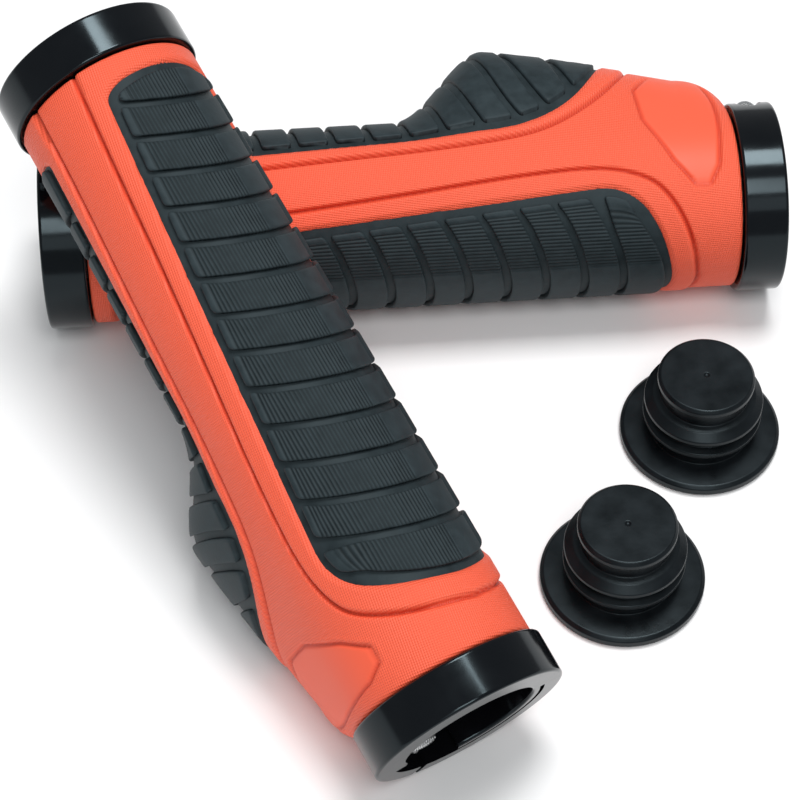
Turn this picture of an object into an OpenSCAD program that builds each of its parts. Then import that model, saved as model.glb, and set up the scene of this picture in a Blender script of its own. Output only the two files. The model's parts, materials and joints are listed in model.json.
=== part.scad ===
// A pair of ergonomic lock-on handlebar grips with two bar end plugs.
// Each grip: a rigid core sleeve, a soft body with a palm wing, a ribbed pad
// and a wing pad set into the body, and a clamp ring with a pinch bolt at each end.
// Grip frame: +X along the bar from the thin end to the winged end, +Z to the wing.
// Row frame: origin at the centre of the rear grip's bore, +X along it, +Z up.

/* [Grip] */
// Overall length over both clamp rings
grip_len = 128; // [110:1:150]
// Radius of the soft body away from the wing
body_r = 15.5; // [14.5:0.1:16]
// Gap between the soft body and a clamp ring
end_gap = 0.3; // [0.2:0.1:1]

/* [Palm wing] */
// Height of the wing's crest above the body
wing_rise = 14.8; // [8:0.1:16]
// Height of the wing where it meets the outer shoulder
wing_shoulder = 7.4; // [3:0.1:9]
// How narrow the wing is: a larger value is narrower
wing_sharp = 9; // [4:1:14]
// Where the wing starts to rise
wing_start = -3; // [-8:0.5:2]
// Where the wing reaches its crest
wing_crest = 14; // [10:0.5:22]
// Where the outer shoulder starts to round down to the ring
wing_turn = 48; // [44:0.5:52]

/* [Core sleeve] */
// Bore radius, for a 22.2 mm handlebar
bore_r = 11.1; // [11:0.05:11.3]
// Outer radius of the sleeve
sleeve_r = 13.4; // [12.8:0.1:13.8]
// Inner radius of the end tabs
tab_in = 12.2; // [12:0.1:12.6]
// Outer radius of the end tabs
tab_out = 13.2; // [12.8:0.1:13.4]
// Length of the end tabs
tab_len = 2.7; // [2:0.1:3]
// Half angle of the wide tab
tab_wide = 22; // [15:1:30]
// Half angle of the narrow tab
tab_narrow = 13; // [8:1:16]
// Clearance around the tabs
tab_gap = 0.3; // [0.3:0.05:0.5]

/* [Clamp rings] */
// Outer radius
ring_r = 16.5; // [16:0.1:17.5]
// Width along the bar
ring_w = 7.5; // [6:0.1:9]
// Edge chamfer
ring_edge = 0.5; // [0.2:0.1:0.8]
// Width of the split in the rim
split_w = 1.2; // [0.8:0.1:2]
// Inner radius of the slot behind the clamp tongue
slot_in = 12.4; // [12.1:0.1:12.6]
// Width of the slot behind the clamp tongue
slot_w = 0.8; // [0.5:0.1:1.2]
// Radius of the open recess under the pinch bolt
recess_r = 13.35; // [13.3:0.05:13.7]

/* [Pinch bolts] */
// Distance of the bolt from the bar's axis
bolt_off = 13.9; // [13.6:0.1:14.2]
// Radius of the shank
shank_r = 1.3; // [1.2:0.05:1.6]
// Radial clearance of the shank in its hole
shank_play = 0.08; // [0.03:0.01:0.1]
// Radius of the head
head_r = 2; // [1.8:0.1:2.5]
// Clearance around the head in its pocket
head_play = 0.3; // [0.2:0.05:0.5]
// Height of the head
head_h = 2.8; // [2:0.1:3.2]
// Distance of the seat under the head from the split
head_seat = 4.2; // [3.5:0.1:5]
// Distance of the tip from the split
tip_reach = 6.5; // [5:0.1:7.5]
// Key size of the hexagon socket, across its corners
socket_d = 2.3; // [2:0.1:3.2]

/* [Pads] */
// Radius of the beds that the pads sit in
bed_r = 14; // [13.8:0.1:14.6]
// Depth of a pad's border below the soft body's surface
border_drop = 0.2; // [0:0.05:0.4]
// Height of the blocks above the border
block_h = 0.9; // [0.4:0.1:1.4]
// Width of the grooves between blocks
gap_w = 1.4; // [0.8:0.1:2]
// Width of the flat border round the blocks
border_w = 1.6; // [1:0.1:3]
// Chamfer on the blocks' top edges
block_edge = 0.3; // [0.1:0.05:0.5]

/* [Rim grooves] */
// Width of the fine grooves in the soft body
line_w = 0.8; // [0.4:0.1:1.2]
// Depth of the fine grooves
line_d = 0.45; // [0.2:0.05:0.8]

/* [Bar end plugs] */
// Radius of the flange
flange_r = 13.7; // [12:0.1:15]
// Thickness of the flange
flange_t = 2.1; // [1.5:0.1:3]
// Radius of the stem between the ribs
stem_r = 8.7; // [8:0.1:9]
// Radius of the two ribs round the stem
rib_r = 10.1; // [9.5:0.1:10.5]
// Radius of the top disc
disc_r = 8.2; // [7.5:0.1:8.6]
// Overall height
plug_h = 16; // [13:0.1:20]

/* [Layout] */
// Turn of the rear grip about the bar
rear_roll = -77; // [-180:1:180]
// Turn of the front grip about its own axis
front_roll = 153; // [-180:1:180]
// Heading of the front grip
front_turn = -63.5; // [-90:0.1:0]
// Downward tilt of the front grip's winged end
front_tilt = 16.6; // [10:0.1:20]
// Front grip's centre, along the rear grip's bar
front_x = -26.2; // [-60:0.1:20]
// Front grip's centre, toward the back
front_y = -49.4; // [-80:0.1:-20]
// First plug's centre, along the rear grip's bar
plug_a_x = 47; // [20:0.1:80]
// First plug's centre, toward the back
plug_a_y = -38.9; // [-70:0.1:-20]
// Second plug's centre, along the rear grip's bar
plug_b_x = 30; // [10:0.1:60]
// Second plug's centre, toward the back
plug_b_y = -68.3; // [-90:0.1:-40]

/* [Hidden] */
$fn = 64;
half_len = grip_len / 2;
ring_x = half_len - ring_w;
body_end = ring_x - end_gap;
shoulder_len = body_end - wing_turn;
ground_z = -ring_r;
front_z = ring_r * cos(front_tilt) + half_len * sin(front_tilt) - ring_r;
// Ends of the ribbed pad and of the wing pad, along the bar
rib_x = [-52.5, 44.7];
wing_x = [-50.5, 36];
// Stations along the bar where the wing rises
rise_xs = [for (i = [0 : 10]) wing_start + 2.1 * i];
// Grooves between the blocks: along the crest of each pad, and at its edge
rib_cuts = [for (i = [0 : 12]) -44.8 + 6.73 * i];
wing_edge_cuts = [for (i = [0 : 11]) -39 + 6.43 * min(i, 9) + 5 * max(i - 9, 0)];
orange = [0.89, 0.22, 0.10];
charcoal = [0.10, 0.12, 0.13];
black = [0.05, 0.05, 0.055];
steel = [0.72, 0.73, 0.75];
eps = 0.01;
// Width of the notch over the bolt's head, through the ring's rim
notch_w = 2 * (head_r + head_play) - 0.1;
// How far the end tabs run back inside the sleeve's wall
tab_root = 1;
// Each tab's middle angle, from the side opposite the wing, and half angle
tabs = [[0, tab_wide], [90, tab_narrow], [-90, tab_narrow]];

function smooth(t) = let (u = min(max(t, 0), 1)) u * u * (3 - 2 * u);

// Height of the wing's crest at a station along the bar
function swell(x) =
    let (rise = smooth((x - wing_start) / (wing_crest - wing_start + 1)),
         along = min(max((x - wing_crest) / (wing_turn - wing_crest), 0), 1),
         fall = wing_rise - (wing_rise - wing_shoulder) * pow(along, 1.2),
         turn = min(max((x - wing_turn) / shoulder_len, 0), 1))
    rise * fall * sqrt(1 - turn * turn);

// Radius of the soft body at a station and an angle from the wing's crest
function skin(x, a) = body_r + swell(x) * pow((1 + cos(a)) / 2, wing_sharp);

// A pad's half width falls to nothing toward an end, as a rounded corner
function taper(t, p, q) = t <= 0 ? 1 : t >= 1 ? 0 : pow(1 - pow(t, p), q);

// Half angle of the ribbed pad, measured from the side opposite the wing
function rib_half(x) =
    (62 + x / 3) * taper((x - 30) / (rib_x[1] - 30), 2.6, 0.62)
    * taper((-48 - x) / (-48 - rib_x[0]), 3, 0.4);

// Half angle of the wing pad, measured from the wing's crest
function wing_half(x) =
    (64.5 - 0.24 * x) * taper((x - 14) / (wing_x[1] - 14), 2, 0.55)
    * taper((-47 - x) / (-47 - wing_x[0]), 3, 0.4);

// Grooves sweep toward the winged end on the ribbed pad's crest,
// and toward the thin end on the wing pad's crest
function rib_sweep(x, a) = x - (0.0015 - 0.000006 * x) * a * a;
function wing_lag(x) = 2 + 6 * smooth(x / 19) - 6 * smooth((x - 22) / 11);
function wing_sweep(x, a) =
    x - wing_lag(x) * (1 - pow(min(abs(a) / (wing_half(x) - 6), 1), 1.4));

function at(x, a, r) = [x, r * sin(a), r * cos(a)];

// Faces of a closed solid whose cross-sections are loops with equal numbers of points
function loft_faces(n, m) = concat(
    [for (i = [0 : n - 2], j = [0 : m - 1]) [i * m + j, i * m + (j + 1) % m, (i + 1) * m + j]],
    [for (i = [0 : n - 2], j = [0 : m - 1])
        [i * m + (j + 1) % m, (i + 1) * m + (j + 1) % m, (i + 1) * m + j]]);

// Closed solid between two grids of points with the same rows and columns
module slab(low, high) {
    n = len(low);
    m = len(low[0]);
    loops = [for (i = [0 : n - 1]) concat(high[i], [for (j = [m - 1 : -1 : 0]) low[i][j]])];
    last = (n - 1) * 2 * m;
    polyhedron(
        points = [for (l = loops) for (p = l) p],
        faces = concat(
            loft_faces(n, 2 * m),
            [for (j = [0 : m - 2]) [j, 2 * m - 1 - j, 2 * m - 2 - j]],
            [for (j = [0 : m - 2]) [j, 2 * m - 2 - j, j + 1]],
            [for (j = [0 : m - 2]) [last + j, last + 2 * m - 2 - j, last + 2 * m - 1 - j]],
            [for (j = [0 : m - 2]) [last + j, last + j + 1, last + 2 * m - 2 - j]]));
}

// Solid round the bar's axis, out to the soft body's surface
module skin_solid() {
    xs = concat([-body_end, -30], rise_xs, [22, 28, 34, 41, wing_turn],
        [for (i = [1 : 5]) wing_turn + shoulder_len * sin(18 * i)]);
    as = concat([for (a = [-60 : 6 : 60]) a], [for (a = [72 : 12 : 288]) a]);
    n = len(xs);
    m = len(as);
    polyhedron(
        points = [for (x = xs) for (a = as) at(x, a, skin(x, a))],
        faces = concat(
            loft_faces(n, m),
            [[for (j = [m - 1 : -1 : 0]) j]],
            [[for (j = [0 : m - 1]) (n - 1) * m + j]]));
}

// Layer under the ribbed pad's blocks; proud raises it to cut its bed
module rib_layer(proud) {
    xs = concat([for (i = [0 : 4]) rib_x[0] + 5 * (1 - cos(18 * i))], [-45, -26, -8, 10, 26],
        [for (i = [0 : 5]) rib_x[1] - 14 * (1 - sin(18 * i))]);
    m = 10;
    slab([for (x = xs) [for (j = [-m / 2 : m / 2])
            at(x, 180 + max(rib_half(x), 0.6) * 2 * j / m, bed_r)]],
        [for (x = xs) [for (j = [-m / 2 : m / 2])
            at(x, 180 + max(rib_half(x), 0.6) * 2 * j / m, body_r + proud)]]);
}

// Layer under the wing pad's blocks
module wing_layer(proud) {
    xs = concat([for (i = [0 : 4]) wing_x[0] + 4 * (1 - cos(18 * i))], [-45, -32, -18], rise_xs,
        [for (i = [0 : 5]) wing_x[1] - 14 * (1 - sin(18 * i))]);
    m = 14;
    slab([for (x = xs) [for (j = [-m / 2 : m / 2]) let (a = max(wing_half(x), 0.6) * 2 * j / m)
            at(x, a, skin(x, a) - body_r + bed_r)]],
        [for (x = xs) [for (j = [-m / 2 : m / 2]) let (a = max(wing_half(x), 0.6) * 2 * j / m)
            at(x, a, skin(x, a) + proud)]]);
}

// One row of a block's top or underside, between two stations at one angle
function block_row(x0, x1, a, r0, r1, edge) = [
    at(x0, a, r0 - edge), at(x0 + block_edge, a, r0), at(x1 - block_edge, a, r1),
    at(x1, a, r1 - edge)];

// Block from rows of [rear station, front station, angle, rear radius, front radius]
module block(rows) {
    slab([for (p = rows) block_row(p[0], p[1], p[2], p[3] + block_h, p[4] + block_h, block_edge)],
        [for (p = rows) block_row(p[0], p[1], p[2], p[3] - 0.5, p[4] - 0.5, 0)]);
}

// Blocks of the ribbed pad
module rib_blocks() {
    cuts = concat([rib_x[0] - 3], rib_cuts, [rib_x[1] + 4]);
    low = body_r - border_drop;
    reach = border_w / body_r * 180 / PI;
    for (i = [0 : len(cuts) - 2])
        let (mid = min(max((cuts[i] + cuts[i + 1]) / 2 - 2, -49.5), 38),
             wide = rib_half(mid) - reach - (i == 0 ? 7 : 0))
            block([for (j = [-7 : 2 : 7]) let (a = wide * j / 7)
                [i == 0 ? rib_x[0] + border_w + a * a / 700 : rib_sweep(cuts[i], a) + gap_w / 2,
                    i == len(cuts) - 2 ? rib_x[1] - border_w - 0.0019 * a * a
                        : rib_sweep(cuts[i + 1], a) - gap_w / 2,
                    180 + a, low, low]]);
}

// Blocks of the wing pad
module wing_blocks() {
    cuts = concat([wing_x[0]], wing_edge_cuts, [wing_x[1] + 1]);
    reach = border_w / body_r * 180 / PI;
    for (i = [0 : len(cuts) - 2])
        let (mid = (cuts[i] + cuts[i + 1]) / 2,
             wide = wing_half(min(mid, 31.5)) - reach)
            block([for (j = [-4 : 4]) let (a = wide * j / 4,
                    back = i == 0 ? wing_x[0] + border_w : wing_sweep(cuts[i], a) + gap_w / 2,
                    front = i == len(cuts) - 2 ? wing_x[1] - border_w - 0.004 * a * a
                        : wing_sweep(cuts[i + 1], a) - gap_w / 2)
                [back, front, a, skin(back, a) - border_drop, skin(front, a) - border_drop]]);
}

// Point beside a path on the soft body, offset across the path's direction and in radius
function beside(path, i, across, lift) =
    let (from = path[max(i - 1, 0)],
         to = path[min(i + 1, len(path) - 1)],
         r = skin(path[i][0], path[i][1]),
         dx = to[0] - from[0],
         ds = (to[1] - from[1]) * r * PI / 180,
         n = norm([dx, ds]),
         x = path[i][0] - across * ds / n,
         a = path[i][1] + across * dx / n / r * 180 / PI)
    at(x, a, skin(x, a) + lift);

// Fine groove along a path of [station, angle] points on the soft body
module fine_groove(path) {
    slab([for (i = [0 : len(path) - 1]) [for (k = [-1, 1]) beside(path, i, k * line_w / 3, -line_d)]],
        [for (i = [0 : len(path) - 1]) [for (k = [-1, 1]) beside(path, i, k * line_w / 2, line_d)]]);
}

// Straight stroke between two [station, angle] points, run on a little past both
module stroke(from, to) {
    over = line_w / 2 / norm([to[0] - from[0], (to[1] - from[1]) * body_r * PI / 180]);
    n = max(1, ceil(abs(to[1] - from[1]) / 20));
    fine_groove([for (i = [0 : n]) from + (to - from) * (i / n * (1 + 2 * over) - over)]);
}

// Groove beside the ribbed pad: from the thin end's ring, round the pad's outer end
function rib_rim(x) = 180 - (rib_half(min(x, 30)) + 13.5);
rib_rim_path = concat(
    [for (x = [-body_end - 1 : 14 : 15]) [x, rib_rim(x)]],
    [for (t = [0 : 18 : 90]) [30 + 19 * sin(t), 94.5 + 85.5 * (1 - pow(cos(t), 0.9))]]);

// Groove beside the wing pad: from the thin end's ring, round the pad's tip
wing_rim_path = concat(
    [for (x = [-body_end - 1, -38, -19, 0, 8]) [x, wing_half(max(x, -47)) + 9]],
    [for (t = [0 : 15 : 90]) [17 + 24 * sin(t), 68 * pow(cos(t), 0.8)]]);

// Smooth panel on the outer shoulder
panel_corners = [[38.5, 39], [47, 110], [52, 110], [53.6, 34], [51.5, 15], [44.5, 15]];

module core_sleeve() {
    color(black)
        difference() {
            union() {
                rotate([0, 90, 0])
                    cylinder(r = sleeve_r, h = 2 * body_end, center = true);
                for (turn = [0, 180])
                    rotate([0, 0, turn])
                        translate([body_end - tab_root, 0, 0])
                            rotate([0, 90, 0])
                                end_tabs();
            }
            rotate([0, 90, 0])
                cylinder(r = bore_r, h = grip_len, center = true);
        }
}

// Ring segment round +Z, centred on an angle
module arc_block(r0, r1, h, mid, half) {
    rotate([0, 0, mid - half])
        rotate_extrude(angle = 2 * half)
            translate([r0, 0])
                square([r1 - r0, h]);
}

module end_tabs() {
    for (tab = tabs)
        arc_block(tab_in, tab_out, tab_root + tab_len, tab[0], tab[1]);
}

module grip_body() {
    color(orange)
        difference() {
            skin_solid();
            rotate([0, 90, 0])
                cylinder(r = sleeve_r, h = grip_len, center = true);
            rib_layer(1);
            wing_layer(1);
            for (side = [0, 1])
                mirror([0, side, 0]) {
                    fine_groove(rib_rim_path);
                    fine_groove(wing_rim_path);
                    for (i = [0 : 5])
                        stroke(panel_corners[i], panel_corners[(i + 1) % 6]);
                }
        }
}

module ribbed_pad() {
    color(charcoal)
        union() {
            rib_layer(-border_drop);
            rib_blocks();
        }
}

module wing_pad() {
    color(charcoal)
        union() {
            wing_layer(-border_drop);
            wing_blocks();
        }
}

// Clamp ring round +Z, inner face at z = 0, split toward -X, bolt head toward +Y
module clamp_ring_z() {
    difference() {
        rotate_extrude()
            polygon([
                [bore_r, 0], [ring_r - ring_edge, 0], [ring_r, ring_edge],
                [ring_r, ring_w - ring_edge], [ring_r - ring_edge, ring_w], [bore_r, ring_w]]);
        translate([0, 0, -eps])
            arc_block(bore_r - 1, recess_r, ring_w + 2 * eps, 174, 34);
        translate([0, 0, -eps])
            arc_block(slot_in, slot_in + slot_w, ring_w + 2 * eps, 258, 54);
        translate([-ring_r, 0, ring_w / 2])
            cube([2 * (ring_r - recess_r) + 1, split_w, ring_w + 1], center = true);
        translate([-bolt_off, 0, ring_w / 2])
            rotate([90, 0, 0])
                cylinder(r = shank_r + shank_play, h = 2 * ring_r, center = true);
        translate([-bolt_off, head_seat, ring_w / 2])
            rotate([-90, 0, 0])
                cylinder(r = head_r + head_play, h = ring_r);
        translate([-ring_r - 1, head_seat, (ring_w - notch_w) / 2])
            cube([ring_r + 1 - bolt_off, ring_r, notch_w]);
        for (tab = tabs)
            translate([0, 0, -eps])
                arc_block(tab_in - tab_gap, tab_out + tab_gap, tab_len + 0.4, tab[0], tab[1] + 1.5);
    }
}

// Pinch bolt along +Y under its head, which is toward +Y
module pinch_bolt_y() {
    rotate([-90, 0, 0])
        difference() {
            union() {
                translate([0, 0, -tip_reach])
                    cylinder(r = shank_r, h = tip_reach + head_seat + head_h / 3);
                translate([0, 0, head_seat + 0.05])
                    cylinder(r = head_r, h = head_h);
            }
            translate([0, 0, head_seat + head_h - 1.6])
                cylinder(d = socket_d, h = 3, $fn = 6);
        }
}

// Puts a ring or a bolt, drawn round +Z, on one end of a grip:
// end is 1 at the winged end and -1 at the thin end, side turns the bolt's head to +Y or -Y
module on_end(end, side) {
    mirror([end < 0 ? 1 : 0, 0, 0])
        mirror([0, side < 0 ? 1 : 0, 0])
            translate([ring_x, 0, 0])
                rotate([0, 90, 0])
                    children();
}

module clamp_ring(end, side) {
    color(black)
        on_end(end, side)
            clamp_ring_z();
}

module pinch_bolt(end, side) {
    color(steel)
        on_end(end, side)
            translate([-bolt_off, 0, ring_w / 2])
                pinch_bolt_y();
}

module bar_plug() {
    color(black)
        rotate_extrude()
            polygon([
                [0, 0], [flange_r - 0.4, 0], [flange_r, 0.4], [flange_r, flange_t - 0.5],
                [flange_r - 0.6, flange_t], [stem_r, flange_t + 0.3], [stem_r, 4.8],
                [rib_r, 5.8], [rib_r, 6.7], [stem_r, 7.2], [stem_r, 8.4], [rib_r, 9.2],
                [rib_r, 10], [stem_r, 11.1], [disc_r - 0.7, 11.5], [disc_r - 0.7, plug_h - 2.1],
                [disc_r, plug_h - 1.5], [disc_r, plug_h - 0.6], [disc_r - 0.5, plug_h],
                [0, plug_h]]);
}

module rear_place() {
    rotate([rear_roll, 0, 0])
        children();
}

module front_place() {
    translate([front_x, front_y, front_z])
        rotate([0, front_tilt, front_turn])
            rotate([front_roll, 0, 0])
                children();
}

module rear_sleeve() rear_place() core_sleeve();
module rear_body() rear_place() grip_body();
module rear_ribbed_pad() rear_place() ribbed_pad();
module rear_wing_pad() rear_place() wing_pad();
module rear_outer_ring() rear_place() clamp_ring(1, -1);
module rear_inner_ring() rear_place() clamp_ring(-1, -1);
module rear_outer_bolt() rear_place() pinch_bolt(1, -1);
module rear_inner_bolt() rear_place() pinch_bolt(-1, -1);
module front_sleeve() front_place() core_sleeve();
module front_body() front_place() grip_body();
module front_ribbed_pad() front_place() ribbed_pad();
module front_wing_pad() front_place() wing_pad();
module front_outer_ring() front_place() clamp_ring(1, 1);
module front_inner_ring() front_place() clamp_ring(-1, 1);
module front_outer_bolt() front_place() pinch_bolt(1, 1);
module front_inner_bolt() front_place() pinch_bolt(-1, 1);
module plug_a() translate([plug_a_x, plug_a_y, ground_z]) bar_plug();
module plug_b() translate([plug_b_x, plug_b_y, ground_z]) bar_plug();

rear_sleeve();
rear_body();
rear_ribbed_pad();
rear_wing_pad();
rear_outer_ring();
rear_inner_ring();
rear_outer_bolt();
rear_inner_bolt();
front_sleeve();
front_body();
front_ribbed_pad();
front_wing_pad();
front_outer_ring();
front_inner_ring();
front_outer_bolt();
front_inner_bolt();
plug_a();
plug_b();
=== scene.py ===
"""Looks for a pair of lock-on handlebar grips with palm wings, and two bar end plugs.

Lengths inside the mesh functions are millimetres in a grip's own frame: +X along the bar
from the thin end to the winged end, angles a in degrees from the wing's crest.
"""

import json
import math

import bmesh
import bpy
import numpy as np
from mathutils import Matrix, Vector


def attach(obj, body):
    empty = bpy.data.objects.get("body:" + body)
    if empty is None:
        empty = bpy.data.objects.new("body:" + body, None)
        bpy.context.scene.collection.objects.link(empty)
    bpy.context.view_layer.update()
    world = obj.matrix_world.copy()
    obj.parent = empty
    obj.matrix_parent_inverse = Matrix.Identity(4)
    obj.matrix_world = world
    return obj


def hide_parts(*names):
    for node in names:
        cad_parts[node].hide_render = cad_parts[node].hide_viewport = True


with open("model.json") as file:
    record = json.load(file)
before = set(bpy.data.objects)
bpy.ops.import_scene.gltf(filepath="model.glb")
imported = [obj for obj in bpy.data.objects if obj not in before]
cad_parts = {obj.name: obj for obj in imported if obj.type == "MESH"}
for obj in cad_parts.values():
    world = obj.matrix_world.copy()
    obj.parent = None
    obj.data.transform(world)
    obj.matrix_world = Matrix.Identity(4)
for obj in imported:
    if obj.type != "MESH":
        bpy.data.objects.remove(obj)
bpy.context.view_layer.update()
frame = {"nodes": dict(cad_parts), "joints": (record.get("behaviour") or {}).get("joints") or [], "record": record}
MOUNTS = {m["name"]: m for m in frame["record"]["mounts"]}
JOINTS = {j["name"]: j for j in frame["joints"]}

MM = 0.001
BODY_R = 15.5
BODY_END = 56.2
BORE_R = 13.42
ARC = math.radians(1) * BODY_R  # one degree round the body, in millimetres

# the wing, along the bar
WING_START, WING_CREST, WING_TURN = -3.0, 14.0, 48.0
WING_RISE, WING_SHOULDER, WING_SHARP = 14.8, 7.4, 9

# the two pads: their ends and grooves along the bar, and the heights of their parts
RIB_X = (-52.5, 44.7)
WING_X = (-50.5, 36.0)
RIB_CUTS = [-44.8 + 6.73 * i for i in range(13)]
WING_CUTS = [-39 + 6.43 * min(i, 9) + 5 * max(i - 9, 0) for i in range(12)]
GAP_W = 1.4
BORDER_W, BORDER_LOW, BORDER_ROUND = 1.6, 0.22, 0.22
BORDER_DEG = math.degrees(BORDER_W / BODY_R)
BLOCK_TOP, BLOCK_ROUND, BLOCK_FOOT, BASE_FOOT = 0.68, 0.3, 0.75, 1.35
RIB_PITCH, RIB_DEPTH = 0.66, 0.2
FIRST_RIB_HALF, LAST_RIB_AT = 38, 38  # degrees of the first block, station of the last
BARE = {"rear": (-22, 20), "front": (4, 28)}  # the strip without ribs, in degrees

# the orange skin: its rounded ends, and the lines pressed into it as (width, depth)
END_ROUND = 0.6
RIM_STEP = 0.36
RIM_LINE = (0.33, 0.8)
PANEL_LINE = (0.3, 0.62)
BED_DEPTH = 1.1

# a clamp ring in its own frame, with the third axis along the bar and the split toward -u:
# a relief inside it by the split, a slot behind its tongue, and pockets for the sleeve's tabs
RING_X, RING_W, RING_R, RING_BORE, RING_ROUND = 56.5, 7.5, 16.5, 11.1, 0.5
RELIEF_R, RELIEF_AT, RELIEF_HALF = 13.35, 174, 34
SLOT_R, SLOT_AT, SLOT_HALF = (12.4, 13.2), 258, 54
SPLIT_R, SPLIT_HALF = 12.85, 0.6
POCKET_R, POCKET_DEPTH = (11.9, 13.5), 3.1
POCKETS = ((0, 23.5), (90, 14.5), (-90, 14.5))
PAST = 1  # how far a cutter runs past a face of the ring
INSIDE, OUTSIDE = 10, 20  # radii clear of the ring on both sides

# a pinch bolt, from the split along its own line
BOLT_OFF, HEAD_SEAT, BOLT_HOLE_R, HEAD_HOLE_R = 13.9, 4.2, 1.38, 2.3
HEAD_WINDOW = (1.5, 6)
HEAD_SIDE = {"rear": -1, "front": 1}
HEAD_R, DOME_START = 2, 6.05
THREAD_R, THREAD_WAVE, THREAD_PITCH = 1.24, 0.06, 0.5
SOCKET_R, SOCKET_FLOOR, SOCKET_OPEN = 1.15, 5.5, 9

SLEEVE_BEVEL = 0.12
SHARP_EDGE = math.radians(32)
HATCH_PITCH = 0.56
HATCH_LEAN, HATCH_CROSS = 0.58076, 0.82227  # whole numbers of waves round the body


# ---------------------------------------------------------------- shape of a grip

def smooth(t):
    """Eased step from 0 at t = 0 to 1 at t = 1."""
    u = np.clip(t, 0, 1)
    return u * u * (3 - 2 * u)


def swell(x):
    """Height of the wing's crest above the round body."""
    x = np.asarray(x, float)
    rise = smooth((x - WING_START) / (WING_CREST - WING_START + 1))
    along = np.clip((x - WING_CREST) / (WING_TURN - WING_CREST), 0, 1)
    fall = WING_RISE - (WING_RISE - WING_SHOULDER) * along ** 1.2
    turn = np.clip((x - WING_TURN) / (BODY_END - WING_TURN), 0, 1)
    return rise * fall * np.sqrt(1 - turn * turn)


def skin(x, a):
    """Radius of the soft body."""
    bell = ((1 + np.cos(np.radians(a))) / 2) ** WING_SHARP
    return BODY_R + swell(x) * bell


def taper(t, p, q):
    """Fall from 1 at t = 0 to 0 at t = 1 along a rounded end."""
    u = np.clip(t, 0, 1)
    return (1 - u ** p) ** q


def rib_half(x):
    """Half angle of the ribbed pad, from the side opposite the wing."""
    x = np.asarray(x, float)
    return ((62 + x / 3) * taper((x - 30) / (RIB_X[1] - 30), 2.6, 0.62)
            * taper((-48 - x) / (-48 - RIB_X[0]), 3, 0.4))


def wing_half(x):
    """Half angle of the wing pad, from the wing's crest."""
    x = np.asarray(x, float)
    return ((64.5 - 0.24 * x) * taper((x - 14) / (WING_X[1] - 14), 2, 0.55)
            * taper((-47 - x) / (-47 - WING_X[0]), 3, 0.4))


def rib_sweep(x, a):
    """Station of a chevron groove at an angle from the pad's centre line."""
    return x - (0.0015 - 0.000006 * x) * a * a


def wing_lag(x):
    """How far a groove lies nearer the thin end on the wing's crest than at its ends."""
    return 2 + 6 * smooth(x / 19) - 6 * smooth((x - 22) / 11)


def spread(points, step):
    """Points along a polyline of (x, a) at an even step in millimetres on the round body."""
    p = np.array(points, float) * (1, ARC)
    run = np.concatenate([[0], np.cumsum(np.hypot(*np.diff(p, axis=0).T))])
    at = np.linspace(0, run[-1], max(2, int(run[-1] / step) + 1))
    return np.stack([np.interp(at, run, p[:, 0]), np.interp(at, run, p[:, 1])], 1)


def rounded(points, passes):
    """A polyline with its corners cut."""
    p = np.array(points, float)
    for _ in range(passes):
        q = p[:-1] * 0.75 + p[1:] * 0.25
        r = p[:-1] * 0.25 + p[1:] * 0.75
        p = np.concatenate([p[:1], np.stack([q, r], 1).reshape(-1, 2), p[-1:]])
    return p


def distance(x, a, path):
    """Distance in millimetres of each grid point (x, |a|) from points along a path."""
    p = np.stack([np.ravel(x), np.ravel(a) * ARC], 1).astype(np.float32)
    path = path.astype(np.float32)
    best = np.empty(len(p), np.float32)
    for i in range(0, len(p), 20000):
        part = p[i:i + 20000]
        gap = ((part[:, None, 0] - path[None, :, 0]) ** 2
               + (part[:, None, 1] - path[None, :, 1]) ** 2)
        best[i:i + 20000] = gap.min(1)
    return np.sqrt(best).reshape(np.shape(x))


def pad_outline(half, ends):
    """Edge of a pad, in millimetres along the bar and round the body from its own centre."""
    lo, hi = ends
    t = np.linspace(0, 1, 400)
    x = lo + (hi - lo) * (1 - np.cos(np.pi * t)) / 2
    return np.stack([x, half(x) * ARC], 1)


# Lines pressed into the orange, as (station, angle from the wing's crest): the rim round
# each pad, and the plain panel between them at the winged end.
RIB_RIM = rounded([(-57.5, 125), (-43, 120), (-30, 116), (-20, 113), (0, 105), (12, 99.5),
                   (20, 96.5), (26, 94.8), (30, 94.3), (35, 95.8), (40, 102), (43, 111),
                   (46, 129), (48, 151), (49, 180), (49, 190)], 3)
WING_RIM = rounded([(-57.5, 90), (-40, 87), (-20, 80), (0, 74), (10, 71), (18, 67),
                    (24, 60.5), (30, 48), (35, 35), (39, 20), (41, 0), (41, -10)], 3)
PANEL = rounded([(44.5, 15), (38.5, 39), (47, 109), (52.3, 109), (53.8, 60), (53.6, 34),
                 (51.5, 15), (44.5, 15)], 1)


def rim_angle(x, rim):
    """Angle from the wing's crest at which a rim passes a station."""
    return np.interp(x, *rim[:-1].T)


# ---------------------------------------------------------------- mesh helpers

def grip_axes(grip):
    """Centre and rows X, Y, Z of a grip's own frame, in the row frame, centre in mm."""
    centre = np.array(MOUNTS[f"{grip}_bore"]["pos_m"]) / MM
    x = np.array(JOINTS[f"{grip}_outer_ring_slide"]["axis"], float)
    x = x / np.linalg.norm(x)
    bolt = np.array(JOINTS[f"{grip}_outer_bolt_turn"]["pos_m"]) / MM - centre
    z = bolt - x * (bolt @ x)
    z = z / np.linalg.norm(z)
    return centre, np.stack([x, np.cross(z, x), z])


def polar(x, a, r):
    """Points of a grip's own frame from station, angle and radius."""
    t = np.radians(a)
    return np.stack(np.broadcast_arrays(x, r * np.sin(t), r * np.cos(t)), -1)


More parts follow.
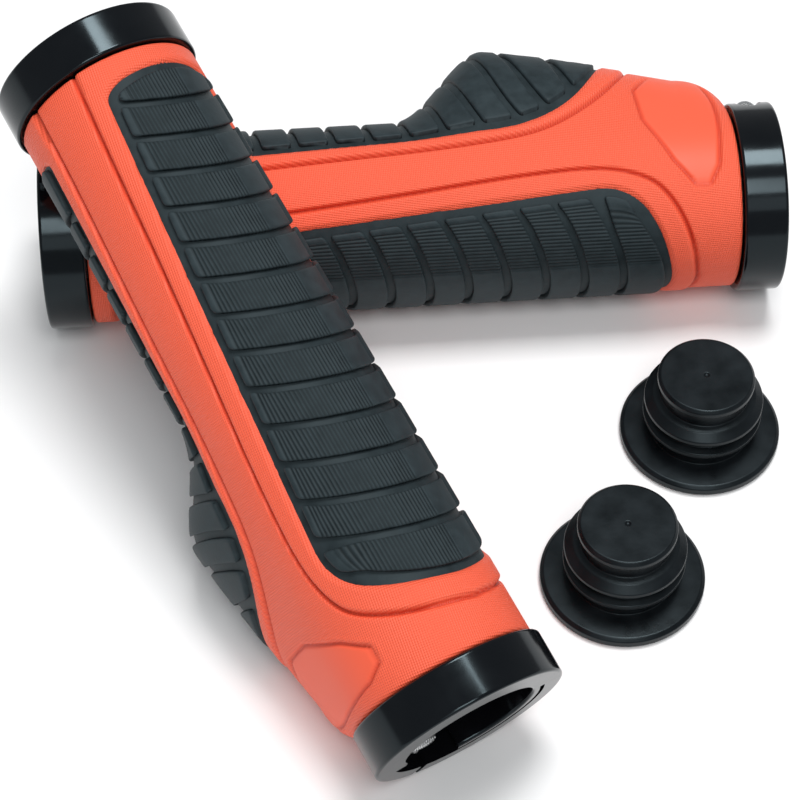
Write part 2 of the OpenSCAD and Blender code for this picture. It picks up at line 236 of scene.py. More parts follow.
def grid_quads(n, m, wrap_rows=False, wrap_cols=False):
    """Faces of a grid of n rows and m columns.

    They are turned outward where the rows follow +X and the columns follow +a.
    """
    i = np.arange(n if wrap_rows else n - 1)
    j = np.arange(m if wrap_cols else m - 1)
    i, j = np.meshgrid(i, j, indexing="ij")
    i2, j2 = (i + 1) % n, (j + 1) % m
    quads = np.stack([i * m + j, i * m + j2, i2 * m + j2, i2 * m + j], -1)
    return quads.reshape(-1, 4)


def grid_edge(n, m):
    """Rows and columns of the points round the edge of a grid, in order."""
    return ([(0, j) for j in range(m)] + [(i, m - 1) for i in range(1, n)]
            + [(n - 1, j) for j in range(m - 2, -1, -1)] + [(i, 0) for i in range(n - 2, 0, -1)])


def mesh_object(name, points, faces, material, uv=None, **marks):
    """Mesh object from points in metres and faces, smooth shaded, with a UV map in metres.

    Each mark is a value per point, kept as an attribute of that name for the material.
    """
    mesh = bpy.data.meshes.new(name)
    mesh.from_pydata(np.asarray(points).tolist(), [], [list(map(int, f)) for f in faces])
    if uv is not None:
        layer = mesh.uv_layers.new(name="surface")
        loops = np.zeros(len(mesh.loops), np.int32)
        mesh.loops.foreach_get("vertex_index", loops)
        layer.data.foreach_set("uv", np.asarray(uv, np.float32)[loops].ravel())
    for mark, values in marks.items():
        attribute = mesh.attributes.new(mark, "FLOAT", "POINT")
        attribute.data.foreach_set("value", np.asarray(values, np.float32))
    mesh.validate(verbose=False)
    mesh.materials.append(material)
    mesh.shade_smooth()
    obj = bpy.data.objects.new(name, mesh)
    bpy.context.scene.collection.objects.link(obj)
    return obj


def place(points, grip):
    """From a grip's own frame in millimetres to the row frame in metres."""
    centre, rows = grip_axes(grip)
    return (centre + np.asarray(points).reshape(-1, 3) @ rows) * MM


def finish_piece(obj, body, node):
    """Puts a piece on its body, in place of the CAD node."""
    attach(obj, body)
    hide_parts(node)


# ---------------------------------------------------------------- soft body

def body_height(x, a):
    """The orange skin's height off its smooth form, with two marks for its material.

    The first mark is where its fine hatch stops, and the second is painted shade along its pressed lines.
    """
    a = np.abs(a)
    in_rib = (a > rim_angle(x, RIB_RIM)) & (x < RIB_RIM[-1, 0])
    in_wing = (a < rim_angle(x, WING_RIM)) & (x < WING_RIM[-1, 0])
    h = np.zeros_like(x)
    crease = np.zeros_like(x)
    width, depth = RIM_LINE
    # a pressed line along each rim, and a step up inside it
    for rim, inside in ((RIB_RIM, in_rib), (WING_RIM, in_wing)):
        d = distance(x, a, spread(rim, 0.1))
        signed = np.where(inside, d, -d)
        h += RIM_STEP * smooth((signed - 0.05) / 0.85)
        line = np.exp(-((signed + 0.02) / width) ** 2)
        h -= depth * line
        # painted shade: the colour along the pressed line is darkened by this mark
        crease = np.maximum(crease, line)
    # the step down again at each pad, and the pad's bed
    for half, ends, away in ((rib_half, RIB_X, 180 - a), (wing_half, WING_X, a)):
        d = distance(x, away, pad_outline(half, ends))
        inside = (away < half(x)) & (x > ends[0]) & (x < ends[1])
        signed = np.where(inside, d, -d)
        edge = smooth((signed + 0.75) / 0.9)
        h -= RIM_STEP * edge + 0.75 * smooth((signed - 0.02) / 0.6)
        h = np.where(signed > 0.8, -BED_DEPTH, h)
    # the panel: a pressed line, a low floor inside it and a slight lip outside
    d = distance(x, a, spread(PANEL, 0.1))
    signed = np.where(even_odd(x, a, PANEL), d, -d)
    fade = smooth((a - 16) / 14)
    width, depth = PANEL_LINE
    line = fade * np.exp(-(signed / width) ** 2)
    h -= depth * line + 0.1 * fade * smooth(signed / 0.5)
    # painted shade along the panel's pressed line
    crease = np.maximum(crease, line)
    h += fade * 0.09 * np.exp(-((signed + 0.75) / 0.35) ** 2)
    plain = smooth((signed + 0.2) / 0.5)
    # the rounded ends
    end = np.clip((np.abs(x) - (BODY_END - END_ROUND)) / END_ROUND, 0, 1)
    h -= END_ROUND * (1 - np.sqrt(1 - end * end))
    return h, plain, crease


def even_odd(x, a, polygon):
    """Whether each grid point lies inside a closed outline."""
    inside = np.zeros(np.shape(x), bool)
    for (x0, a0), (x1, a1) in zip(polygon[:-1], polygon[1:]):
        if a0 == a1:
            continue
        crosses = (a0 > a) != (a1 > a)
        inside ^= crosses & (x < (x1 - x0) * (a - a0) / (a1 - a0) + x0)
    return inside


def columns(x):
    """Angles of the mesh's columns at a station, gathered along the rims and the pads' edges."""
    # held apart where a rim or a pad runs out
    wing_rim = max(float(rim_angle(x, WING_RIM)), 20)
    rib_rim = min(float(rim_angle(x, RIB_RIM)), 150)
    wing_edge = min(max(float(wing_half(x)), 8), wing_rim - 6)
    rib_edge = max(180 - max(float(rib_half(x)), 8), rib_rim + 6)
    near = np.array([0, 0.1, 0.2, 0.3, 0.41, 0.54, 0.7, 0.9, 1.2])
    narrow = np.concatenate([near / 2.9, 1 - near[::-1] / 2.9])
    middle = np.linspace(near[-1] / 11, 1 - near[-1] / 11, 52)[1:-1]
    wide = np.concatenate([near / 11, middle, 1 - near[::-1] / 11])
    parts = [np.linspace(0, wing_edge, 24)]
    for start, stop, share in ((wing_edge, wing_rim, narrow), (wing_rim, rib_rim, wide),
                               (rib_rim, rib_edge, narrow)):
        parts.append((start + (stop - start) * share)[1:])
    parts.append(np.linspace(rib_edge, 180, 24)[1:])
    half = np.concatenate(parts)
    return np.concatenate([-half[:0:-1], half[:-1]])


def close_seam(mesh, around):
    """Runs the UV map on past the last column instead of back across the whole surface."""
    layer = mesh.uv_layers["surface"].data
    uv = np.empty(len(layer) * 2, np.float32)
    layer.foreach_get("uv", uv)
    v = uv.reshape(-1, 4, 2)[..., 1]
    wide = np.ptp(v, axis=1) > 0.6 * around
    v[wide] += (v[wide] < 0) * around
    layer.foreach_set("uv", uv)


def soft_body(grip, material):
    """The orange moulding with its wing, its pressed lines and the beds of both pads."""
    turn = np.linspace(0, np.pi / 2, 5)
    xs = np.concatenate([
        -BODY_END + END_ROUND * (1 - np.cos(turn))[:-1],
        np.arange(-BODY_END + END_ROUND, -46.2, 0.4), np.arange(-46, 24, 0.85),
        np.arange(24, BODY_END - END_ROUND, 0.28),
        BODY_END - END_ROUND + END_ROUND * np.sin(turn)])
    a = np.array([columns(x) for x in xs])
    n, m = a.shape
    x = np.repeat(xs[:, None], m, 1)
    h, plain, crease = body_height(x, a)
    outer = polar(x, a, skin(x, a) + h)
    inner = np.stack([polar(BODY_END, a[-1], BORE_R), polar(-BODY_END, a[0], BORE_R)])
    points = np.concatenate([outer, inner])
    faces = grid_quads(n + 2, m, wrap_rows=True, wrap_cols=True)
    uv = np.stack([x, a * ARC], -1) * MM
    uv = np.concatenate([uv.reshape(-1, 2), np.zeros((2 * m, 2))])
    plain = np.concatenate([plain.ravel(), np.ones(2 * m)])
    crease = np.concatenate([crease.ravel(), np.zeros(2 * m)])
    obj = mesh_object(f"{grip}_soft_body", place(points, grip), faces, material, uv,
                      plain=plain, crease=crease)
    close_seam(obj.data, 360 * ARC * MM)
    finish_piece(obj, f"{grip}_grip", f"{grip}_body")


# ---------------------------------------------------------------- pads

def pad_base(half, ends, centre):
    """A pad's border and groove floors, as points, faces, UV and a light painted shade over the whole base."""
    lo, hi = ends
    ease = 1 - np.cos(np.linspace(0, np.pi / 2, 22))
    xs = np.concatenate([lo + 4.5 * ease, np.arange(lo + 5, hi - 14.2, 0.9),
                         hi - 14 + 14 * np.sin(np.linspace(0, np.pi / 2, 40))])
    near = np.array([0, 0.05, 0.14, 0.3, 0.8])
    share = np.linspace(-1, 1, 61)[1:-1]
    n = len(xs)
    width = np.maximum(half(xs), 0.4)[:, None]
    lip = np.minimum(np.degrees(near / BODY_R)[None, :], width * 0.3)
    inner = share[None, :] * (width - lip[:, -1:])
    a = np.concatenate([-width + lip, inner, (width - lip)[:, ::-1]], 1)
    x = np.broadcast_to(xs[:, None], a.shape)
    d = distance(x, np.abs(a), pad_outline(half, ends))
    drop = BORDER_ROUND * (1 - np.sqrt(1 - (1 - np.clip(d / BORDER_ROUND, 0, 1)) ** 2))
    angle = centre + a
    top = polar(x, angle, skin(x, angle) - BORDER_LOW - drop)
    low = polar(x, angle, skin(x, angle) - BASE_FOOT)
    m = a.shape[1]
    points = np.concatenate([top.reshape(-1, 3), low.reshape(-1, 3)])
    uv = np.stack([x, a * ARC], -1).reshape(-1, 2) * MM
    quads = grid_quads(n, m)
    rim = [i * m + j for i, j in grid_edge(n, m)]
    k = n * m
    sides = [(rim[i], rim[i - 1], rim[i - 1] + k, rim[i] + k) for i in range(len(rim))]
    faces = [tuple(q) for q in quads] + sides + [tuple(q[::-1] + k) for q in quads]
    # a light painted shade over the border, the groove floors, the sides and the underside
    return points, faces, np.concatenate([uv, uv]), np.full(len(points), 0.25)


INSET = np.array([0, 0.05, 0.13, 0.28, 0.6, 1.0])


def clipped(x0, x1, away, size):
    """Ends of a block's columns with its corners rounded; away is the distance from the side."""
    short = np.clip((size - away) / size, 0, 1)
    cut = np.minimum(size, np.maximum(x1 - x0, 0.2) * 0.46) * (1 - np.sqrt(1 - short ** 2))
    close = x1 - x0 < 0.4
    return (np.where(close, (x0 + x1) / 2 - 0.2, x0 + cut),
            np.where(close, (x0 + x1) / 2 + 0.2, x1 - cut))


def stations(x0, x1):
    """Rows of stations between two ends, gathered at both for a rounded edge."""
    length = x1 - x0
    inset = np.minimum(INSET[None, :], length[:, None] * 0.3)
    inner = np.linspace(0, 1, 5)[1:-1]
    middle = x0[:, None] + inset[:, -1:] + (length[:, None] - 2 * inset[:, -1:]) * inner
    return np.concatenate([x0[:, None] + inset, middle, (x1[:, None] - inset)[:, ::-1]], 1).T


def raised(x, a, centre, comb=None):
    """A raised block over a grid of (station, angle), as points, faces, UV and painted shade in the ribs' valleys
    and down its sides.
    """
    n, m = x.shape
    ring = grid_edge(n, m)
    edge = np.array([(x[i, j], a[i, j]) for i, j in ring])
    d = distance(x, a, spread(np.concatenate([edge, edge[:1]]), 0.08))
    away = 1 - np.clip(d / BLOCK_ROUND, 0, 1)
    h = BLOCK_TOP - BLOCK_ROUND * (1 - np.sqrt(1 - away ** 2))
    if comb is not None:
        h = h - RIB_DEPTH * comb[None, :] * smooth(d / 0.25 + 0.35)
    angle = centre + a
    top = polar(x, angle, skin(x, angle) + h)
    low = polar(x, angle, skin(x, angle) - BLOCK_FOOT)
    points = np.concatenate([top.reshape(-1, 3), np.array([low[i, j] for i, j in ring])])
    k, count, far = n * m, len(ring), m + n - 2
    index = [i * m + j for i, j in ring]
    faces = [tuple(q) for q in grid_quads(n, m)]
    faces += [(index[q], index[q - 1], k + (q - 1) % count, k + q) for q in range(count)]
    faces += [(k + q + 1, k + q, k + far + m - 1 - q, k + far + m - 2 - q) for q in range(m - 1)]
    faces += [tuple(k + (m - 1 + q) for q in range(n)),
              tuple([k] + [k + count - 1 - q for q in range(n - 1)])[::-1]]
    uv = np.stack([x, a * ARC], -1).reshape(-1, 2)
    # painted shade: the ribs' valleys darker, and the foot ring fully dark so the sides darken toward the base
    crease = np.zeros(k) if comb is None else np.tile(0.8 * comb, n)
    uv = np.concatenate([uv, edge * (1, ARC)]) * MM
    return points, faces, uv, np.concatenate([crease, np.ones(count)])


def rib_block(i, bare):
    """One block of the ribbed pad.

    Its ribs run along the bar, clear of a bare strip and of the block's two ends.
    """
    first, last = i == 0, i == len(RIB_CUTS)
    if first:
        end = FIRST_RIB_HALF
    else:
        mid = LAST_RIB_AT if last else (RIB_CUTS[i - 1] + RIB_CUTS[i]) / 2 - 2
        end = float(rib_half(mid)) - BORDER_DEG
    step = math.degrees(RIB_PITCH / 4 / (BODY_R + BLOCK_TOP))
    comb = step * np.arange(int((end - 4.2) / step) + 1)
    tail = end - np.degrees(INSET[::-1] / BODY_R)
    side = np.concatenate([comb[comb < tail[0] - 0.4], tail])
    base = np.concatenate([-side[::-1], side[1:]])
    x0 = RIB_X[0] + BORDER_W + base ** 2 / 900 if first else (
        rib_sweep(RIB_CUTS[i - 1], base) + GAP_W / 2)
    x1 = RIB_X[1] - BORDER_W - 0.0019 * base ** 2 if last else (
        rib_sweep(RIB_CUTS[i], base) - GAP_W / 2)
    x = stations(*clipped(x0, x1, (end - np.abs(base)) * ARC, 0.6))
    follow = smooth((np.abs(base) / end - 0.75) / 0.25) * (not first)
    scale = (np.maximum(rib_half(x) - BORDER_DEG, 2) / end - 1) * follow[None, :]
    ribbed = ((base < bare[0]) | (base > bare[1])) & (np.abs(base) < tail[0] - 0.4)
    ribs = np.where(ribbed, 0.5 - 0.5 * np.cos(base / step * np.pi / 2), 0)
    return raised(x, base[None, :] * (1 + np.clip(scale, -0.6, 0.3)), 180, ribs)


def wing_block(i):
    """One block of the wing pad, its ends parallel to the pad's border."""
    first, last = i == 0, i == len(WING_CUTS)
    start = WING_X[0] + BORDER_W if first else WING_CUTS[i - 1] + GAP_W / 2
    stop = WING_X[1] - BORDER_W if last else WING_CUTS[i] - GAP_W / 2
    wide = float(wing_half((start + stop) / 2)) - BORDER_DEG
    tail = 1 - np.degrees(INSET[::-1] / BODY_R) / wide
    side = np.concatenate([np.arange(0, tail[0] - 0.02, 1.2 / ARC / wide), tail])
    s = np.concatenate([-side[::-1], side[1:]])
    bow = 1 - np.abs(s) ** 1.4
    x0 = start - (0 if first else wing_lag(WING_CUTS[i - 1])) * bow
    x1 = stop - (0 if last else wing_lag(WING_CUTS[i])) * bow
    x = stations(*clipped(x0, x1, (1 - np.abs(s)) * wide * ARC, 0.5))
    edge = start + (stop - start) * (x - x0) / (x1 - x0)
    return raised(x, s[None, :] * np.maximum(wing_half(edge) - BORDER_DEG, 2), 0)


def pad(grip, kind, material):
    """A whole pad: its base with the border and groove floors, and its blocks."""
    if kind == "ribbed":
        parts = [pad_base(rib_half, RIB_X, 180)]
        parts += [rib_block(i, BARE[grip]) for i in range(len(RIB_CUTS) + 1)]
    else:
        parts = [pad_base(wing_half, WING_X, 0)]
        parts += [wing_block(i) for i in range(len(WING_CUTS) + 1)]
    points, faces, uv, crease, base = [], [], [], [], 0
    for p, f, u, c in parts:
        points.append(p)
        uv.append(u)
        crease.append(c)
        faces += [tuple(int(v) + base for v in q) for q in f]
        base += len(p)
    obj = mesh_object(f"{grip}_{kind}_tread", place(np.concatenate(points), grip), faces,
                      material, np.concatenate(uv), crease=np.concatenate(crease))
    finish_piece(obj, f"{grip}_grip", f"{grip}_{kind}_pad")


# ---------------------------------------------------------------- hard pieces

def sleeve_piece(grip, material):
    """A copy of the CAD sleeve with its sharp edges broken by a small bevel."""
    obj = frame["nodes"][f"{grip}_sleeve"].copy()
    obj.data = obj.data.copy()
    for key in list(obj.keys()):
        del obj[key]
    obj.name = obj.data.name = f"{grip}_core"
    obj.parent = None
    bpy.context.scene.collection.objects.link(obj)
    work = bmesh.new()
    work.from_mesh(obj.data)
    bmesh.ops.remove_doubles(work, verts=work.verts, dist=2e-7)
    bmesh.ops.dissolve_limit(work, angle_limit=math.radians(0.8), verts=work.verts,
                             edges=work.edges)
    sharp = [e for e in work.edges
             if len(e.link_faces) == 2 and e.calc_face_angle(0) > math.radians(28)]
    bmesh.ops.bevel(work, geom=sharp, offset=SLEEVE_BEVEL * MM, segments=2, profile=0.5,
                    affect="EDGES", clamp_overlap=True)
    bmesh.ops.triangulate(work, faces=[f for f in work.faces if len(f.verts) > 4])
    work.to_mesh(obj.data)
    work.free()
    obj.data.materials.clear()
    obj.data.materials.append(material)
    obj.data.shade_smooth()
    obj.data.set_sharp_from_angle(angle=SHARP_EDGE)
    finish_piece(obj, f"{grip}_grip", f"{grip}_sleeve")


def solid(name, points, faces):
    """Closed mesh object with its faces turned outward, in millimetres."""
    mesh = bpy.data.meshes.new(name)
    mesh.from_pydata(np.asarray(points, float).tolist(), [], [list(map(int, f)) for f in faces])
    work = bmesh.new()
    work.from_mesh(mesh)
    bmesh.ops.recalc_face_normals(work, faces=work.faces)
    work.to_mesh(mesh)
    work.free()
    obj = bpy.data.objects.new(name, mesh)
    bpy.context.scene.collection.objects.link(obj)
    return obj


def eased(points, size, closed=False):
    """A profile with its corners eased, and its flats held flat beside them."""
    p = np.array(points, float)
    out = []
    for i in range(len(p)):
        if not closed and i in (0, len(p) - 1):
            out.append(p[i])
            continue
        back, on = p[i - 1] - p[i], p[(i + 1) % len(p)] - p[i]
        lb, lo = np.hypot(*back), np.hypot(*on)
        sb, so = min(size, lb * 0.35), min(size, lo * 0.35)
        start, stop = p[i] + back / lb * sb, p[i] + on / lo * so
        out.append(p[i] + back / lb * sb * 1.2)
        for t in np.linspace(0, 1, 5):
            out.append((1 - t) ** 2 * start + 2 * t * (1 - t) * p[i] + t * t * stop)
        out.append(p[i] + on / lo * so * 1.2)
    return np.array(out)


def lathe(profile, m, closed=False):
    """Turned form round the third axis from (radius, height) points, as points and faces."""
    turn = np.arange(m) * 2 * np.pi / m
    r, t = np.meshgrid(profile[:, 0], turn, indexing="ij")
    z = np.repeat(profile[:, 1][:, None], m, 1)
    points = np.stack([r * np.cos(t), r * np.sin(t), z], -1).reshape(-1, 3)
    n = len(profile)
    faces = [tuple(q) for q in grid_quads(n, m, wrap_rows=closed, wrap_cols=True)]
    if not closed:
        faces += [tuple(range(m))[::-1], tuple(range((n - 1) * m, n * m))]
    return points, faces


def arc_cutter(radii, heights, mid, half):
    """Part of a ring between two radii and two heights, half an angle each side of mid."""
    (r0, r1), (w0, w1) = radii, heights
    turn = np.radians(np.linspace(mid - half, mid + half, int(half / 0.75) + 2))
    box = np.array([(r0, w0), (r1, w0), (r1, w1), (r0, w1)])
    points = [(r * math.cos(t), r * math.sin(t), w) for t in turn for r, w in box]
    faces = list(grid_quads(len(turn), 4, wrap_cols=True))
    last = 4 * (len(turn) - 1)
    return solid("cutter", points, faces + [(0, 1, 2, 3), (last, last + 1, last + 2, last + 3)])


def box_cutter(low, high):
    """Box between two corners."""
    points = [(u, v, w) for u in (low[0], high[0]) for v in (low[1], high[1])
              for w in (low[2], high[2])]
    faces = [(0, 1, 3, 2), (4, 5, 7, 6), (0, 1, 5, 4), (2, 3, 7, 6), (0, 2, 6, 4), (1, 3, 7, 5)]
    return solid("cutter", points, faces)


def rod_cutter(radius, start, stop, sides=48):
    """Rod along the bolt's own line, from one distance from the split to another."""
    points, faces = lathe(np.array([(radius, start), (radius, stop)]), sides)
    return solid("cutter", along_bolt(points), faces)


def along_bolt(points):
    """From a form turned round the third axis to one along the bolt in the ring's frame."""
    p = np.asarray(points)
    return np.stack([p[:, 0] - BOLT_OFF, p[:, 2], RING_W / 2 - p[:, 1]], -1)


def carved(obj, cutters):
    """Mesh of a solid with every cutter taken out of it."""
    for cutter in cutters:
        cut = obj.modifiers.new("cut", "BOOLEAN")
        cut.operation, cut.solver, cut.object = "DIFFERENCE", "EXACT", cutter
    bpy.context.view_layer.update()
    mesh = bpy.data.meshes.new_from_object(
        obj.evaluated_get(bpy.context.evaluated_depsgraph_get()))
    for used in [obj, *cutters]:
        bpy.data.objects.remove(used)
    return mesh


def ring_mesh():
    """Clamp ring round its own axis, split toward -u, bolt head toward +v."""
    profile = eased([(RING_BORE, 0), (RING_R, 0), (RING_R, RING_W), (RING_BORE, RING_W)],
                    RING_ROUND, closed=True)
    through = (-PAST, RING_W + PAST)
    cutters = [
        arc_cutter((INSIDE, RELIEF_R), through, RELIEF_AT, RELIEF_HALF),
        arc_cutter(SLOT_R, through, SLOT_AT, SLOT_HALF),
        box_cutter((-OUTSIDE, -SPLIT_HALF, through[0]), (-SPLIT_R, SPLIT_HALF, through[1])),
        rod_cutter(BOLT_HOLE_R, -OUTSIDE, OUTSIDE),
        rod_cutter(HEAD_HOLE_R, HEAD_SEAT, OUTSIDE),
        box_cutter((-OUTSIDE, HEAD_SEAT, HEAD_WINDOW[0]), (-BOLT_OFF, OUTSIDE, HEAD_WINDOW[1]))]
    cutters += [arc_cutter(POCKET_R, (-PAST, POCKET_DEPTH), mid, half) for mid, half in POCKETS]
    return carved(solid("ring", *lathe(profile, 240, closed=True)), cutters)


def bolt_mesh():
    """Pinch bolt with a threaded shank, a domed head and a hexagon socket."""
    turns = np.arange(-6.2, 2.6, THREAD_PITCH / 4)
    wave = THREAD_WAVE * np.cos(turns * 2 * np.pi / THREAD_PITCH)
    thread = np.stack([THREAD_R + wave, turns], 1)
    dome = np.linspace(np.pi / 2, 0.02, 9)
    profile = np.concatenate([
        [(0.01, -6.5), (0.85, -6.5), (1.1, -6.4)], thread, [(1.3, 2.8), (1.3, 4.2), (1.3, 4.25)],
        [(1.34, 4.25), (1.9, 4.25), (1.97, 4.3), (HEAD_R, 4.4), (HEAD_R, 5.9)],
        np.stack([HEAD_R * np.sin(dome), DOME_START + np.cos(dome)], 1)])
    points, faces = lathe(profile, 72)
    socket = rod_cutter(SOCKET_R, SOCKET_FLOOR, SOCKET_OPEN, sides=6)
    return carved(solid("bolt", along_bolt(points), faces), [socket])


def hard_piece(mesh, name, grip, end, body, material):
    """A ring or a bolt put on one end of a grip: end is 1 at the winged end.

    A ring and a bolt each have a body and a CAD node of the same name.
    """
    mesh = mesh.copy()
    mesh.name = name
    side = HEAD_SIDE[grip]
    p = np.empty(len(mesh.vertices) * 3, np.float32)
    mesh.vertices.foreach_get("co", p)
    u, v, w = p.reshape(-1, 3).astype(float).T
    p = place(np.stack([end * (RING_X + w), side * v, -u], 1), grip)
    mesh.vertices.foreach_set("co", p.astype(np.float32).ravel())
    if end * side < 0:
        mesh.flip_normals()
    mesh.materials.clear()
    mesh.materials.append(material)
    mesh.shade_smooth()
    mesh.set_sharp_from_angle(angle=SHARP_EDGE)
    obj = bpy.data.objects.new(name, mesh)
    bpy.context.scene.collection.objects.link(obj)
    finish_piece(obj, body, body)


def plug_piece(name, material):
    """Push-in plug: a turned form with two ribs round its stem and a flat top."""
    base = np.array(MOUNTS[f"{name}_face"]["pos_m"]) / MM
    profile = eased([(0.01, 0), (13.3, 0), (13.7, 0.4), (13.7, 1.6), (13.1, 2.1), (8.7, 2.4),
                     (8.7, 4.8), (10.1, 5.8), (10.1, 6.7), (8.7, 7.2), (8.7, 8.4), (10.1, 9.2),
                     (10.1, 10), (8.7, 11.1), (7.5, 11.5), (7.5, 13.9), (8.2, 14.5),
                     (8.2, 15.4), (7.7, 15.95), (0.5, 15.95), (0.3, 15.7), (0.01, 15.65)], 0.16)
    points, faces = lathe(profile, 192)
    obj = mesh_object(f"{name}_turned", (points + base) * MM, faces, material)
    finish_piece(obj, name, name)


# ---------------------------------------------------------------- materials

def new_material(name, base, rough, **inputs):
    """A material, its nodes and links, and its shader with constant inputs set.

    base and rough hold wherever nothing is linked to those two sockets.
    """
    mat = bpy.data.materials.new(name)
    mat.use_nodes = True
    shader = mat.node_tree.nodes["Principled BSDF"]
    shader.inputs["Base Color"].default_value = (*base, 1)
    shader.inputs["Roughness"].default_value = rough
    for key, value in inputs.items():
        shader.inputs[key.replace("_", " ")].default_value = value
    return mat, mat.node_tree.nodes, mat.node_tree.links, shader


def object_coords(nodes):
    """Coordinates that stay with the piece as it moves."""
    return nodes.new("ShaderNodeTexCoord").outputs["Object"]


def noise(nodes, links, vector, scale, detail):
    node = nodes.new("ShaderNodeTexNoise")
    node.inputs["Scale"].default_value = scale
    node.inputs["Detail"].default_value = detail
    links.new(vector, node.inputs["Vector"])
    return node.outputs["Fac"]


def ramp(nodes, links, value, low, high, start=0.0, end=1.0):
    """The value mapped from start and end to low and high."""
    node = nodes.new("ShaderNodeMapRange")
    for key, v in (("From Min", start), ("From Max", end), ("To Min", low), ("To Max", high)):
        node.inputs[key].default_value = v
    links.new(value, node.inputs["Value"])
    return node.outputs["Result"]


def maths(nodes, links, kind, a, b=None):
    """A sum of one or two inputs, each a number or a socket."""
    node = nodes.new("ShaderNodeMath")
    node.operation = kind
    for i, v in enumerate((a, b)):
        if v is None:
            continue
        if isinstance(v, (int, float)):
            node.inputs[i].default_value = v
        else:
            links.new(v, node.inputs[i])
    return node.outputs[0]


def tint(nodes, links, value, dark, light):
    """A colour between two, by the value."""
    node = nodes.new("ShaderNodeMix")
    node.data_type = "RGBA"
    node.inputs["A"].default_value = (*dark, 1)
    node.inputs["B"].default_value = (*light, 1)
    links.new(value, node.inputs["Factor"])
    return node.outputs["Result"]


def creased(nodes, links, colour, shade_colour, most):
    """The colour turned toward a darker one by the mesh's mark of painted shade in creases, grooves and recesses.
    """
    mark = nodes.new("ShaderNodeAttribute")
    # the mark of painted shade set on the mesh
    mark.attribute_name = "crease"
    node = nodes.new("ShaderNodeMix")
    node.data_type = "RGBA"
    node.inputs["B"].default_value = (*shade_colour, 1)
    links.new(colour, node.inputs["A"])
    links.new(ramp(nodes, links, mark.outputs["Fac"], 0, most, 0.1), node.inputs["Factor"])
    return node.outputs["Result"]


def bump(nodes, links, height, depth, strength, normal=None):
    """A normal from a height, over another normal where one is given."""
    node = nodes.new("ShaderNodeBump")
    node.inputs["Distance"].default_value = depth
    node.inputs["Strength"].default_value = strength
    links.new(height, node.inputs["Height"])
    if normal is not None:
        links.new(normal, node.inputs["Normal"])
    return node.outputs["Normal"]


def orange_rubber():
    """Orange rubber with a fine pressed hatch, plain where the mesh says so, and painted shade in its pressed
    lines.
    """
    mat, nodes, links, shader = new_material("orange_rubber", (0.86, 0.095, 0.038), 0.5,
                                             Specular_IOR_Level=0.35)
    uv = nodes.new("ShaderNodeUVMap")
    uv.uv_map = "surface"
    split = nodes.new("ShaderNodeSeparateXYZ")
    links.new(uv.outputs["UV"], split.inputs["Vector"])
    wave = 2 * math.pi / (HATCH_PITCH * MM)
    u, v = split.outputs["X"], split.outputs["Y"]
    lean = maths(nodes, links, "ADD", maths(nodes, links, "MULTIPLY", u, 0.82 * wave),
                 maths(nodes, links, "MULTIPLY", v, HATCH_LEAN * wave))
    cross = maths(nodes, links, "SUBTRACT", maths(nodes, links, "MULTIPLY", u, 0.58 * wave),
                  maths(nodes, links, "MULTIPLY", v, HATCH_CROSS * wave))
    weave = maths(nodes, links, "MULTIPLY", maths(nodes, links, "SINE", lean),
                  maths(nodes, links, "SINE", cross))
    plain = nodes.new("ShaderNodeAttribute")
    plain.attribute_name = "plain"
    hatched = maths(nodes, links, "SUBTRACT", 1.0, plain.outputs["Fac"])
    weave = maths(nodes, links, "MULTIPLY", weave, hatched)
    coords = object_coords(nodes)
    grain = noise(nodes, links, coords, scale=2600, detail=2)
    cloud = noise(nodes, links, coords, scale=60, detail=3)
    colour = tint(nodes, links, ramp(nodes, links, weave, 0, 1, start=-1),
                  dark=(0.82, 0.097, 0.045), light=(0.92, 0.135, 0.063))
    # painted shade darkens the pressed lines
    colour = creased(nodes, links, colour, shade_colour=(0.48, 0.03, 0.01), most=0.75)
    links.new(colour, shader.inputs["Base Color"])
    links.new(ramp(nodes, links, cloud, low=0.42, high=0.56), shader.inputs["Roughness"])
    fine = bump(nodes, links, grain, depth=0.02 * MM, strength=0.5)
    normal = bump(nodes, links, weave, depth=0.05 * MM, strength=1, normal=fine)
    links.new(normal, shader.inputs["Normal"])
    return mat


def charcoal_rubber():
    """Dark rubber of the pads, matt with a dusty cloud, and painted shade in its groove floors, rib valleys and
    down the blocks' sides.
    """
    mat, nodes, links, shader = new_material("charcoal_rubber", (0.015, 0.023, 0.026), 0.6,
                                             Specular_IOR_Level=0.28,
                                             Specular_Tint=(0.8, 0.95, 1.0, 1.0))
    coords = object_coords(nodes)
    grain = noise(nodes, links, coords, scale=1900, detail=3)
    cloud = noise(nodes, links, coords, scale=480, detail=6)
    colour = tint(nodes, links, cloud, dark=(0.004, 0.008, 0.010), light=(0.032, 0.046, 0.052))
    # painted shade darkens the groove floors, the ribs' valleys and the blocks' sides
    colour = creased(nodes, links, colour, shade_colour=(0.002, 0.003, 0.0035), most=0.95)
    links.new(colour, shader.inputs["Base Color"])
    links.new(ramp(nodes, links, cloud, low=0.5, high=0.68), shader.inputs["Roughness"])
    normal = bump(nodes, links, grain, depth=0.04 * MM, strength=0.7)
    links.new(normal, shader.inputs["Normal"])
    return mat


def black_gloss():
    """Glossy black of the clamp rings, with faint smears."""
    mat, nodes, links, shader = new_material("black_gloss", (0.003, 0.003, 0.004), 0.12,
                                             Specular_IOR_Level=0.28,
                                             Specular_Tint=(0.72, 0.92, 1.0, 1.0))
    coords = object_coords(nodes)
    smear = noise(nodes, links, coords, scale=260, detail=4)
    links.new(ramp(nodes, links, smear, low=0.08, high=0.2), shader.inputs["Roughness"])
    colour = tint(nodes, links, smear, dark=(0.002, 0.002, 0.003), light=(0.004, 0.004, 0.005))
    links.new(colour, shader.inputs["Base Color"])
    return mat


